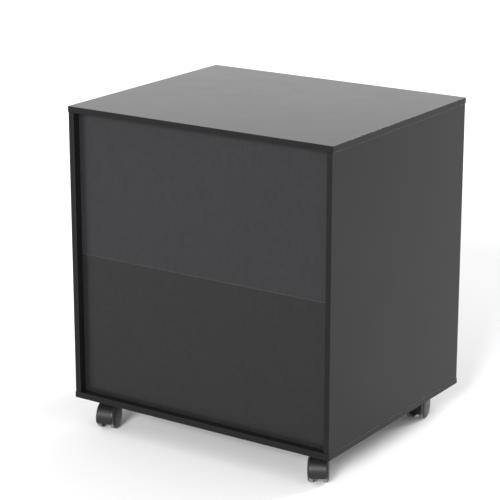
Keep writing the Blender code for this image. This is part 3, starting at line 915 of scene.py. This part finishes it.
def hingeLeaf(name, plateLow, plateHigh, axisX, axisY, middleZ, third, outerLeaf, look=hingeLook):
    # made about the hinge line; the plate's far corners are rounded and its screw holes are dished
    lowX, highX = plateLow.x - axisX, plateHigh.x - axisX
    lowY, highY = plateLow.y - axisY, plateHigh.y - axisY
    halfZ = (plateHigh.z - plateLow.z) / 2
    gap = look["gap"]
    r = look["corner"]
    outline = [(lowY, -halfZ), (highY - r, -halfZ)]
    for i in range(1, 7):
        a = math.radians(-90 + 90 * i / 6)
        outline.append((highY - r + r * math.cos(a), -halfZ + r + r * math.sin(a)))
    for i in range(7):
        a = math.radians(90 * i / 6)
        outline.append((highY - r + r * math.cos(a), halfZ - r + r * math.sin(a)))
    outline.append((lowY, halfZ))
    plate = eased(prism(name, outline, lowX, highX, "X"), look["ease"], 2, 50)
    tools = []
    if outerLeaf:
        notch = third / 2 + gap
        front, behind = look["notchFront"], look["notchBack"]
        tools.append(("DIFFERENCE", block((front, front, -notch), (-front, behind, notch))))
        ends = (third / 2 + gap / 2, 1.5 * third)
        for sign in (-1, 1):
            low, high = sorted((sign * ends[0], sign * ends[1]))
            tools.append(("UNION", knuckle(low, high)))
        radius, top = look["pinRadius"], 1.5 * third
        end = [(1.4 * third, radius), (top, look["pinHead"])]
        end += [(top + look["pinShoulder"], radius), (top + look["pinDome"], 0)]
        tools.append(("UNION", lathe("pin", mirrored(end), 24)))
    else:
        tools.append(("UNION", knuckle(-third / 2 + gap, third / 2 - gap)))
        tools.append(("DIFFERENCE", rod("bore", -third, third, look["pinRadius"] + look["pinRoom"], 32)))
    screws = []
    way = 1 if outerLeaf else -1
    faceX = highX if outerLeaf else lowX
    wide = look["screwStep"] if outerLeaf else third * look["innerStep"]
    middleInset = look["outerInset"] if outerLeaf else look["innerInset"]
    for step in (-1, 0, 1):
        y = highY - look["screwInset"] - (0 if step else middleInset)
        z = step * wide
        tools.append(dish(look["dishDepth"], look["countersink"], (way, 0, 0), (faceX, y, z)))
        seat = (axisX + faceX - way * screwLook["settle"], axisY + y, middleZ + z)
        screws.append(facing((way, 0, 0), seat))
    return withTools(plate, *tools, smoothAngle=40), screws


def makeHinges(look=hingeLook):
    hingeX, hingeY = jointOf["door_hinge"]["pos_m"][:2]
    for level in ("lower", "upper"):
        low, high = box(f"cabinet_hinge_leaf_{level}")
        middleZ = (low.z + high.z) / 2
        third = (high.z - low.z) / 3
        for side in ("cabinet", "door"):
            node = f"{side}_hinge_leaf_{level}"
            low, high = box(node)
            low.x, high.x = (hingeX + x for x in look[side + "Leaf"])
            low.y = hingeY + look["leafStart"]
            outer = side == "cabinet"
            mesh, screws = hingeLeaf(plainName(node), low, high, hingeX, hingeY, middleZ, third, outer)
            standIn(node, finished(mesh, "zinc"), Matrix.Translation((hingeX, hingeY, middleZ)))
            screws = gather("screws", flatScrew, screws)
            addPiece(plainName(node) + "Screws", screws, bodyOf[node])
    print("hinge leaves: 4")


# magnet catch on the divider and its strike on the door

catchLook = {
    "ease": 0.0010,
    "pocketDepth": 0.0040,
    "room": 0.0003,
    "past": 0.001,
    "magnetWidth": 0.0050,
    "magnetHeight": 0.0300,
    "magnetSunk": 0.0006,
    "magnetEase": 0.0003,
    "poleThick": 0.0012,
    "poleSunk": 0.0001,
    "poleEase": 0.0002,
    "slotLength": 0.0085,
    "slotWidth": 0.0048,
    "slotCorner": 0.0023,
    "slotDepth": 0.0016,
    "slotY": 0.0025,
    "slotZ": 0.0125,
    "screwSunk": 0.0014,
    "strikeCorner": 0.0020,
    "strikeEase": 0.0002,
    "dishDepth": 0.0013,
    "countersink": 0.0029,
}


def makeCatch(look=catchLook):
    middle = middleOf("magnet_catch")
    low, high = box("magnet_catch")
    halfX, halfY, halfZ = (high - low) / 2
    body = block((-halfX, -halfY, -halfZ), (halfX, halfY, halfZ), "magnetCatch")
    body = eased(body, look["ease"], 3)
    inner, tallest, depth = look["magnetWidth"] / 2, look["magnetHeight"] / 2, look["pocketDepth"]
    wide = inner + look["poleThick"] + look["room"]
    tall = tallest + look["room"]
    pocket = block((-wide, -halfY - look["past"], -tall), (wide, -halfY + depth, tall))
    tools = [("DIFFERENCE", pocket)]
    screws = []
    slot = roundedRectangle(look["slotLength"], look["slotWidth"], look["slotCorner"], 5)
    for z in (-look["slotZ"], look["slotZ"]):
        outline = [(look["slotY"] + a, z + b) for a, b in slot]
        cut = prism("slot", outline, -halfX - look["past"], -halfX + look["slotDepth"], "X")
        tools.append(("DIFFERENCE", cut))
        screws.append(facing((-1, 0, 0), middle + Vector((-halfX + look["screwSunk"], look["slotY"], z))))
    standIn("magnet_catch", finished(withTools(body, *tools), "hood"), Matrix.Translation(middle))
    face = Matrix.Translation(middle + Vector((0, -halfY, 0)))
    magnet = block((-inner, look["magnetSunk"], -tallest), (inner, depth, tallest))
    magnet = eased(magnet, look["magnetEase"], 2)
    addPiece("catchMagnet", finished(magnet, "ferrite"), bodyOf["magnet_catch"], face)
    for name, side in (("catchPoleLeft", -inner - look["poleThick"]), ("catchPoleRight", inner)):
        pole = block((side, look["poleSunk"], -tallest), (side + look["poleThick"], depth, tallest))
        pole = eased(pole, look["poleEase"], 2)
        addPiece(name, finished(pole, "zinc"), bodyOf["magnet_catch"], face)
    addPiece("catchScrews", gather("screws", flatScrew, screws), bodyOf["magnet_catch"])
    middle = middleOf("catch_strike")
    low, high = box("catch_strike")
    halfX, halfY, halfZ = (high - low) / 2
    outline = roundedRectangle(2 * halfX, 2 * halfZ, look["strikeCorner"], 5)
    plate = eased(prism("catchStrike", outline, -halfY, halfY, "Y"), look["strikeEase"], 2)
    sink = dish(look["dishDepth"], look["countersink"], (0, 1, 0), (0, halfY, 0))
    standIn("catch_strike", finished(withTools(plate, sink), "zinc"), Matrix.Translation(middle))
    seat = middle + Vector((0, halfY - screwLook["settle"], 0))
    screw = gather("screw", flatScrew, [facing((0, 1, 0), seat)])
    addPiece("catchStrikeScrew", screw, bodyOf["catch_strike"])
    print("magnet catch and strike")


# caps over the fittings that hold the boards together, and the drawer's own screws

capLook = {
    "radius": 0.0085,
    "height": 0.0009,
    "seat": 0.00005,
    "ease": 0.0003,
    "inset": 0.030,
    "fromEdge": 0.085,
    "drawerInset": 0.018,
}


def capMesh(look=capLook):
    # a low cap with a shallow dish in its middle
    r, h, ease = look["radius"], look["height"], look["ease"]
    profile = [(look["seat"], 0), (look["seat"], r - ease), (ease, r), (h * 0.55, r - ease / 3)]
    profile += [(h, r - 0.0010), (h, r * 0.42), (h - ease, r * 0.36), (h - ease, 0)]
    return finished(lathe("cap", profile, 48), "disc")


def makeCaps(look=capLook):
    insideLeft = box("side_panel_left")[1].x
    insideRight = box("side_panel_right")[0].x
    dividerLow, dividerHigh = box("divider_panel")
    ceiling = box("top_panel")[0].z - look["inset"]
    ground = box("bottom_panel")[1].z + look["inset"]
    frontY = dividerLow.y + look["fromEdge"]
    backY = dividerHigh.y - look["fromEdge"]
    places = []
    for x, way in ((insideLeft, 1), (insideRight, -1), (dividerHigh.x, 1)):
        for y in (frontY, backY):
            for z in (ground, ceiling):
                places.append(facing((way, 0, 0), (x, y, z)))
    deckLow, deckHigh = box("drawer_deck")
    for x in (deckLow.x + look["inset"], deckHigh.x - look["inset"]):
        for y in (deckLow.y + look["fromEdge"], deckHigh.y - look["fromEdge"]):
            places.append(facing((0, 0, -1), (x, y, deckLow.z)))
    addPiece("fittingCaps", gather("caps", capMesh(), places), "cabinet")
    drawerPlaces = []
    backLow, backHigh = box("drawer_back")
    y = (backLow.y + backHigh.y) / 2
    for node, way in (("drawer_side_left", -1), ("drawer_side_right", 1)):
        low, high = box(node)
        x = (low.x if way < 0 else high.x) - way * screwLook["settle"]
        for z in (backLow.z + look["drawerInset"], backHigh.z - look["drawerInset"]):
            drawerPlaces.append(facing((way, 0, 0), (x, y, z)))
    addPiece("drawerScrews", gather("screws", flatScrew, drawerPlaces), "drawer")
    print("caps and drawer screws:", len(places) + len(drawerPlaces))


# twin-wheel casters: a hood over both wheels, domed black covers, grey treads, a plate and its race

casterLook = {
    "wall": 0.0023,
    "shoulder": 0.0019,
    "lowerCorner": 0.0055,
    "lowBack": -19.0,
    "lowFront": 200.0,
    "arcSteps": 60,
    "widthSteps": 28,
    "ease": 0.0004,
    "finHalf": 0.0055,
    "finEase": 0.0008,
    "finBack": -12,
    "finBackBraked": 70,  # the fin stops here to leave room for the pedal
    "finFront": 192,
    "cheekNear": 0.011,
    "cheekFar": 0.019,
    "cheekFoot": -0.003,
    "cheekInside": 0.0054,
    "cheekOutside": 0.0074,
    "pivotBore": 0.0016,
    "pivotReach": 0.009,
    "bossRadius": 0.0090,
    "bossLow": 0.040,
    "collarRadius": 0.0140,
    "collarLow": 0.0531,
    "collarTop": 0.0569,
    "axleRoom": 0.0001,
    "axleReach": 0.015,
    "axleEase": 0.0005,
    "plateThick": 0.002,
    "plateCorner": 0.0050,
    "plateEase": 0.0004,
    "screwSpot": 0.0155,
    "screwHole": 0.0024,
}

wheelLook = {
    "inside": 0.0095,
    "outside": 0.0175,
    "bore": 0.0031,
    "coverRadius": 0.0238,
    "coverPower": 2.25,
    "buttonRadius": 0.0042,
    "buttonStep": 0.0003,
    "coreRadius": 0.0219,
    "treadInside": 0.0220,
    "treadRound": 0.0010,
    "treadEase": 0.0005,
    "blades": 6,
    "bladeThick": 0.0012,
    "bladeFrom": (0.0009, 0.0080),
    "bladeTo": (0.0146, 0.0200),
}

casterNames = ("back_right", "back_left", "front_left", "front_right")


def casterPlace(where):
    # the caster's own frame: on the floor under the swivel, X along the axle, trailing towards +Y
    x, y, z = jointOf[f"swivel_{where}"]["pos_m"]
    axis = jointOf[f"spin_{where}_a"]["axis"]
    return Matrix.Translation((x, y, 0)) @ Matrix.Rotation(math.atan2(axis[1], axis[0]), 4, "Z")


def hubOf(where):
    return casterPlace(where).inverted() @ Vector(jointOf[f"spin_{where}_a"]["pos_m"])


def hoodShell(half, outer, look=casterLook):
    # a curved shell with rounded shoulders; its two lower edges have rounded corners
    inner = outer - look["wall"]
    columns = look["widthSteps"]
    xs = [-half * math.cos(math.pi * i / columns) for i in range(columns + 1)]
    low, high = math.radians(look["lowBack"]), math.radians(look["lowFront"])
    form = bmesh.new()
    skins = []
    for skin in ("outer", "inner"):
        grid = []
        for row in range(look["arcSteps"] + 1):
            line = []
            for x in xs:
                over = max(0.0, abs(x) - (half - look["shoulder"])) / look["shoulder"]
                drop = look["shoulder"] * (1 - math.sqrt(max(0.0, 1 - over * over))) * 0.85
                near = max(0.0, abs(x) - (half - look["lowerCorner"])) / look["lowerCorner"]
                trim = look["lowerCorner"] * (1 - math.sqrt(max(0.0, 1 - near * near))) / outer
                angle = low + trim + (high - low - 2 * trim) * row / look["arcSteps"]
                radius = outer - drop if skin == "outer" else inner
                line.append(form.verts.new((x, radius * math.cos(angle), radius * math.sin(angle))))
            grid.append(line)
        skins.append(grid)
        for near, far in zip(grid, grid[1:]):
            for i in range(columns):
                form.faces.new((near[i], near[i + 1], far[i + 1], far[i]))
    top, under = skins
    for row in range(look["arcSteps"]):
        for side in (0, columns):
            form.faces.new((top[row][side], top[row + 1][side], under[row + 1][side], under[row][side]))
    for row in (0, look["arcSteps"]):
        for i in range(columns):
            form.faces.new((top[row][i], top[row][i + 1], under[row][i + 1], under[row][i]))
    return eased(meshFrom(form, "hoodShell", 50), look["ease"], 2, 50)


def arcPoints(radius, start, stop, steps):
    angles = [math.radians(start + (stop - start) * i / steps) for i in range(steps + 1)]
    return [(radius * math.cos(a), radius * math.sin(a)) for a in angles]


def hoodMesh(where, look=casterLook):
    place = casterPlace(where)
    hub = hubOf(where)
    _, high = boxIn(f"caster_hood_{where}", place)
    _, axleHigh = boxIn(f"caster_axle_{where}", place)
    half = high.x
    outer = high.y - hub.y
    braked = f"brake_pedal_{where}" in bodyOf
    shell = hoodShell(half, outer)
    finRadius = outer - look["wall"] / 2
    finFront = look["finFront"]
    if braked:
        finBack = look["finBackBraked"]
        fin = arcPoints(finRadius, finBack, finFront, 24)
        fin.append((finRadius * math.cos(math.radians(finBack)), fin[-1][1]))
    else:
        fin = arcPoints(finRadius, look["finBack"], finFront, 40)
    finMesh = prism("fin", fin, -look["finHalf"], look["finHalf"], "X")
    tools = [("UNION", eased(finMesh, look["finEase"], 3, 50))]
    r, c = look["bossRadius"], look["collarRadius"]
    bottom, under, top = (look[k] - hub.z for k in ("bossLow", "collarLow", "collarTop"))
    profile = [(bottom, 0), (bottom, r), (under - 0.0030, r), (under - 0.0014, r + 0.0005)]
    profile += [(under - 0.0004, r + 0.0016), (under, r + 0.0030), (under, c - 0.0005), (under + 0.0005, c)]
    profile += [(top - 0.0006, c), (top, c - 0.0006), (top, 0)]
    post = lathe("post", profile, 56)
    post.transform(Matrix.Translation((0, -hub.y, 0)))
    tools.append(("UNION", post))
    if braked:
        near, far, foot = look["cheekNear"], look["cheekFar"], look["cheekFoot"]
        cheek = [(near, foot), (far, foot), (far, math.sqrt(finRadius**2 - far**2)),
                 (near, math.sqrt(finRadius**2 - near**2))]
        for side in (-1, 1):
            ends = sorted((side * look["cheekInside"], side * look["cheekOutside"]))
            tools.append(("UNION", prism("cheek", cheek, *ends, "X")))
        bore = rod("bore", -look["pivotReach"], look["pivotReach"], look["pivotBore"], 24, "X")
        bore.transform(Matrix.Translation(hubToPivot(where)))
        tools.append(("DIFFERENCE", bore))
    bearing = axleHigh.z - hub.z + look["axleRoom"]
    tools.append(("DIFFERENCE", rod("bore", -look["axleReach"], look["axleReach"], bearing, 32, "X")))
    return finished(withTools(shell, *tools, smoothAngle=40), "hood")


def hubToPivot(where):
    return casterPlace(where).inverted() @ Vector(jointOf[f"brake_{where}"]["pos_m"]) - hubOf(where)


pedalLook = {
    "half": 0.0049,
    "barrel": 0.0030,
    "pin": 0.0014,
    "pinReach": 0.0074,
    "ease": 0.0005,
    "lever": ((-0.0022, -0.0015), (0.0070, -0.0140), (0.0195, -0.0145), (0.0205, -0.0130), (0.0195, -0.0117),
              (0.0090, -0.0113), (0.0025, -0.0010)),
    "ridges": (0.0150, 0.0166, 0.0182),
    "ridgeRadius": 0.0004,
    "ridgeInset": 0.0006,
    "ridgeUp": 0.0001,
    "tabTop": -0.0117,
}


def pedalMesh(look=pedalLook):
    # lever, barrel and stub pins in one, with grip ridges across the tab
    half, reach = look["half"], look["pinReach"]
    body = eased(prism("pedal", look["lever"], -half, half, "X"), look["ease"], 3, 25)
    tools = [
        ("UNION", rod("barrel", -half, half, look["barrel"], 40, "X")),
        ("UNION", rod("stubs", -reach, reach, look["pin"], 28, "X")),
    ]
    r, ends = look["ridgeRadius"], half - look["ridgeInset"]
    end = [(ends - 0.0005, r), (ends - 0.0002, r * 0.7), (ends, 0)]
    for y in look["ridges"]:
        ridge = lathe("ridge", mirrored(end), 20, "X")
        ridge.transform(Matrix.Translation((0, y, look["tabTop"] + look["ridgeUp"])))
        tools.append(("UNION", ridge))
    return finished(withTools(body, *tools, smoothAngle=35), "pedal")


def wheelMeshes(look=wheelLook):
    # made for the +X side of a hub: a black core with its domed cover, and the grey tread ring round it
    low, high = boxIn("caster_wheel_back_left_b", casterPlace("back_left"))
    dome = high.x
    treadRadius = (high.z - low.z) / 2
    inside, outside, hubEnd, bore = look["inside"], look["outside"], low.x, look["bore"]
    cover, power = look["coverRadius"], look["coverPower"]
    b, step = look["buttonRadius"], look["buttonStep"]
    c = look["coreRadius"]
    rise = dome - outside - 0.0004
    profile = [
        (outside - 0.0005, 0), (outside - 0.0005, bore), (hubEnd, bore), (hubEnd, 0.0064),
        (hubEnd + 0.0004, 0.0070), (inside, 0.0083), (0.0137, 0.0088), (0.0142, 0.0094), (0.0142, 0.0190),
        (0.0137, 0.0195),
        (inside + 0.0004, 0.0203), (inside, 0.0207), (inside, c - 0.0003), (inside + 0.0003, c),
        (outside + 0.0001, c), (outside + 0.0001, cover - 0.0004),
    ]
    for i in range(15):
        r = cover * math.cos(math.pi / 2 * i / 15) ** 0.9
        if r <= b + 0.0008:
            break
        profile.append((outside + 0.0004 + rise * (1 - (r / cover) ** power) ** (1 / power), r))
    profile += [(dome - step, b + 0.0006), (dome - step - 0.0002, b + 0.0003)]
    profile += [(dome - 0.0001, b), (dome, b - 0.0005), (dome, 0)]
    core = lathe("wheelCore", profile, 72, "X", 40)
    tools = []
    half = look["bladeThick"] / 2
    (fromX, fromZ), (toX, toZ) = look["bladeFrom"], look["bladeTo"]
    for i in range(look["blades"]):
        blade = block((inside + fromX, -half, fromZ), (toX, half, toZ))
        blade.transform(Matrix.Rotation(fullTurn * i / look["blades"], 4, "X"))
        tools.append(("UNION", blade))
    core = finished(withTools(core, *tools, smoothAngle=40), "disc")
    bend, under, ease = look["treadRound"], look["treadInside"], look["treadEase"]
    ring = [(inside + ease, under), (inside, under + ease), (inside, treadRadius - bend)]
    for i in range(1, 6):
        a = math.radians(90 * i / 6)
        ring.append((inside + bend * (1 - math.cos(a)), treadRadius - bend * (1 - math.sin(a))))
    ring += [(inside + bend, treadRadius), (outside - bend, treadRadius)]
    for i in range(1, 6):
        a = math.radians(90 - 90 * i / 6)
        ring.append((outside - bend * (1 - math.cos(a)), treadRadius - bend * (1 - math.sin(a))))
    ring += [(outside, treadRadius - bend), (outside, under + ease), (outside - ease, under)]
    tread = finished(lathe("wheelTread", ring, 96, "X", 40), "tread")
    return core, tread


def plateMesh(where, look=casterLook):
    # pressed plate with four screw holes and the ball race under it, about the plate's own middle
    low, high = box(f"caster_plate_{where}")
    thick, width = look["plateThick"], high.x - low.x
    outline = roundedRectangle(width, width, look["plateCorner"], 6)
    plate = eased(prism("casterPlate", outline, -thick / 2, thick / 2), look["plateEase"], 2, 50)
    drop = low.z - (high.z - thick / 2)
    profile = [(drop, 0), (drop, 0.0112), (drop + 0.0004, 0.0122), (drop + 0.0010, 0.0128)]
    profile += [(drop + 0.0018, 0.0130), (-0.0004, 0.0134), (0.0, 0.0134), (0.0, 0)]
    tools = [("UNION", lathe("race", profile, 56))]
    for x, y in cornersOf(look["screwSpot"]):
        hole = rod("hole", -thick, thick, look["screwHole"], 28)
        hole.transform(Matrix.Translation((x, y, 0)))
        tools.append(("DIFFERENCE", hole))
    return finished(withTools(plate, *tools, smoothAngle=40), "zinc")


def cornersOf(spot):
    return [(x, y) for x in (-spot, spot) for y in (-spot, spot)]


def makeCasters(look=casterLook):
    hoods = {False: hoodMesh("back_left"), True: hoodMesh("front_left")}
    core, tread = wheelMeshes()
    pedal = pedalMesh()
    plate = plateMesh("back_left")
    under = look["plateThick"] / 2
    for where in casterNames:
        place = casterPlace(where)
        hub = place @ Matrix.Translation(hubOf(where))
        title = "".join(word.capitalize() for word in where.split("_"))
        braked = f"brake_pedal_{where}" in bodyOf
        standIn(f"caster_hood_{where}", hoods[braked], hub)
        low, high = boxIn(f"caster_axle_{where}", place)
        half, radius, ease = (high.x - low.x) / 2, (high.z - low.z) / 2, look["axleEase"]
        end = [(half - ease, radius), (half, radius - ease), (half, 0)]
        axle = lathe("axle", mirrored(end), 40, "X")
        standIn(f"caster_axle_{where}", finished(axle, "bright"), hub)
        for hand, turn in (("a", math.pi), ("b", 0.0)):
            node = f"caster_wheel_{where}_{hand}"
            turned = hub @ Matrix.Rotation(turn, 4, "Z")
            standIn(node, core, turned)
            addPiece("casterTread" + title + hand.upper(), tread, bodyOf[node], turned)
        node = f"caster_plate_{where}"
        low, high = box(node)
        middle = Vector(((low.x + high.x) / 2, (low.y + high.y) / 2, high.z - under))
        standIn(node, plate, Matrix.Translation(middle))
        spots = [middle + Vector((x, y, -under)) for x, y in cornersOf(look["screwSpot"])]
        screws = gather("screws", panScrew, [facing((0, 0, -1), spot) for spot in spots])
        addPiece("casterScrews" + title, screws, bodyOf[node])
        if braked:
            pivot = hubOf(where) + hubToPivot(where)
            standIn(f"brake_pedal_{where}", pedal, place @ Matrix.Translation(pivot))
    print("casters:", len(casterNames))


makeShelfPins()
makeRunners()
makeHinges()
makeCatch()
makeCaps()
makeCasters()


# plain studio: a pale floor, a white surround that is brighter low down, and two soft lamps

studioLook = {
    "floorSize": 60.0,
    "floorColour": (0.91, 0.91, 0.91),
    "floorDrop": 0.0002,
    "surroundLow": 1.49,
    "surroundHigh": 0.72,
    "surroundRise": 0.70,
    "lamps": {  # strength, spread in degrees, direction it shines from
        "lampBehind": (3.4, 17.0, (192.0, 23.0)),
        "lampInFront": (1.8, 17.0, (337.0, 24.0)),
    },
}


def awayFrom(azimuth, elevation):
    # the direction out from the object, in degrees round it and above the horizon
    a, e = math.radians(azimuth), math.radians(elevation)
    return Vector((math.sin(a) * math.cos(e), -math.cos(a) * math.cos(e), math.sin(e)))


def makeStudio(look=studioLook):
    scene = bpy.context.scene
    half = look["floorSize"] / 2
    form = bmesh.new()
    corners = ((-half, -half), (half, -half), (half, half), (-half, half))
    form.faces.new([form.verts.new((x, y, 0)) for x, y in corners])
    mesh = bpy.data.meshes.new("floor")
    form.to_mesh(mesh)
    form.free()
    material, tree, shader = startFinish("floorPale", look["floorColour"], 0.9)
    tree.links.new(spread(tree, noiseOf(tree, 3.0, 2.0), 0.3, 0.7, 0.88, 0.92), shader.inputs["Roughness"])
    shader.inputs["Specular IOR Level"].default_value = 0.0
    mesh.materials.append(material)
    floor = bpy.data.objects.new("floor", mesh)
    floor.location = (0, 0, -look["floorDrop"])
    scene.collection.objects.link(floor)
    world = bpy.data.worlds.new("studio")
    world.use_nodes = True
    backdrop = world.node_tree.nodes["Background"]
    backdrop.inputs["Color"].default_value = (1, 1, 1, 1)
    outward = world.node_tree.nodes.new("ShaderNodeTexCoord")
    parts = world.node_tree.nodes.new("ShaderNodeSeparateXYZ")
    world.node_tree.links.new(outward.outputs["Generated"], parts.inputs[0])
    low, high = look["surroundLow"], look["surroundHigh"]
    glow = spread(world.node_tree, parts.outputs["Z"], 0.0, look["surroundRise"], low, high)
    world.node_tree.links.new(glow, backdrop.inputs["Strength"])
    scene.world = world
    for name, (strength, width, place) in look["lamps"].items():
        light = bpy.data.lights.new(name, "SUN")
        light.energy = strength
        light.angle = math.radians(width)
        lamp = bpy.data.objects.new(name, light)
        lamp.rotation_euler = (-awayFrom(*place)).to_track_quat("-Z", "Y").to_euler()
        scene.collection.objects.link(lamp)
    scene.view_settings.view_transform = "Standard"
    print("studio ready")


cameraLook = {
    "centre": (0.0, 0.0, 0.361),
    "azimuth": 213.93,
    "elevation": 16.52,
    "distance": 3.840,
    "right": -0.0367,
    "up": -0.0022,
    "lens": 138.87,
}


def makeCamera(look=cameraLook):
    camera = bpy.data.cameras.new("camera")
    camera.lens = look["lens"]
    camera.sensor_width = 36.0
    stand = bpy.data.objects.new("camera", camera)
    bpy.context.scene.collection.objects.link(stand)
    back = awayFrom(look["azimuth"], look["elevation"])
    turn = (-back).to_track_quat("-Z", "Y")
    aside = turn @ Vector((look["right"], look["up"], 0))
    spot = Vector(look["centre"]) + back * look["distance"] + aside
    stand.matrix_world = Matrix.Translation(spot) @ turn.to_matrix().to_4x4()
    bpy.context.scene.camera = stand
    print("camera ready")


makeStudio()
makeCamera()
